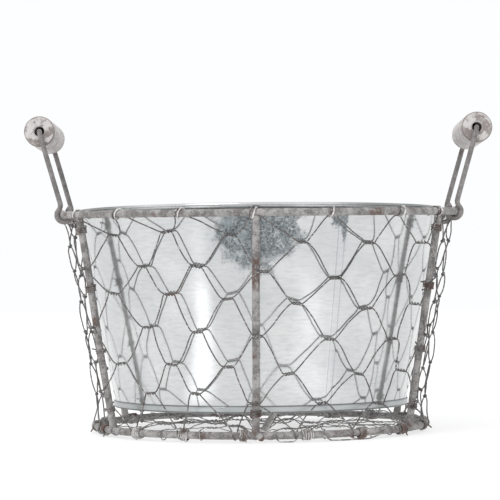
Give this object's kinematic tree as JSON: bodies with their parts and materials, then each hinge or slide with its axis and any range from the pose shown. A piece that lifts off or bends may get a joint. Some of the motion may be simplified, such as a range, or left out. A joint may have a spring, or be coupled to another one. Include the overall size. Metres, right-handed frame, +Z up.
{
  "type": "wire produce basket",
  "caption": "Round tapered chicken-wire basket with a lift-out galvanised zinc liner and upright bail handles that carry turned wooden grips.",
  "frame": {"origin": "the middle of the flat footprint, under the centre of the basket, on the surface it stands on", "axes": "+Z up along the basket's axis, +X towards the right handle, -Y towards the front"},
  "size_m": [0.26, 0.233, 0.177],
  "materials": {
    "frame_wire": "chalky grey-brown whitewash with rust showing through",
    "handle_wire": "matte grey-brown whitewash",
    "netting_wire": "weathered dull galvanised wire",
    "zinc_sheet": "galvanised zinc, soft gloss with frosty patches",
    "whitewashed_wood": "worn whitewash on turned wood"
  },
  "bodies": {
    "basket": {"top_ring": "frame_wire", "base_ring": "frame_wire", "strut_front": "frame_wire", "strut_front_right": "frame_wire", "strut_back_right": "frame_wire", "strut_back": "frame_wire", "strut_back_left": "frame_wire", "strut_front_left": "frame_wire", "floor_bar": "frame_wire", "netting_wire_1": "netting_wire", "netting_wire_2": "netting_wire", "netting_wire_3": "netting_wire", "netting_wire_4": "netting_wire", "netting_wire_5": "netting_wire", "netting_wire_6": "netting_wire", "netting_wire_7": "netting_wire", "floor_netting": "netting_wire", "rim_lacing": "netting_wire", "base_lacing": "netting_wire", "strut_ties": "netting_wire"},
    "liner": {"liner_wall": "zinc_sheet", "liner_base": "zinc_sheet", "liner_rim_wire": "netting_wire"},
    "right_handle": {"bail_right": "handle_wire"},
    "left_handle": {"bail_left": "handle_wire"},
    "right_grip": {"grip_right": "whitewashed_wood"},
    "left_grip": {"grip_left": "whitewashed_wood"}
  },
  "joints": [
    {"name": "liner_lift", "type": "slide", "parent": "basket", "child": "liner", "axis": [0, 0, 1], "range_m": [0, 0.13]},
    {"name": "right_handle_swing", "type": "hinge", "parent": "basket", "child": "right_handle", "pos_m": [0.10791, 0, 0.12173], "axis": [0, 1, 0], "range_deg": [0, 140]},
    {"name": "left_handle_swing", "type": "hinge", "parent": "basket", "child": "left_handle", "pos_m": [-0.10791, 0, 0.12173], "axis": [0, -1, 0], "range_deg": [0, 140]},
    {"name": "right_grip_roll", "type": "hinge", "parent": "right_handle", "child": "right_grip", "pos_m": [0.1214, 0, 0.1684], "axis": [0, 1, 0], "continuous": true},
    {"name": "left_grip_roll", "type": "hinge", "parent": "left_handle", "child": "left_grip", "pos_m": [-0.1214, 0, 0.1684], "axis": [0, -1, 0], "continuous": true}
  ]
}
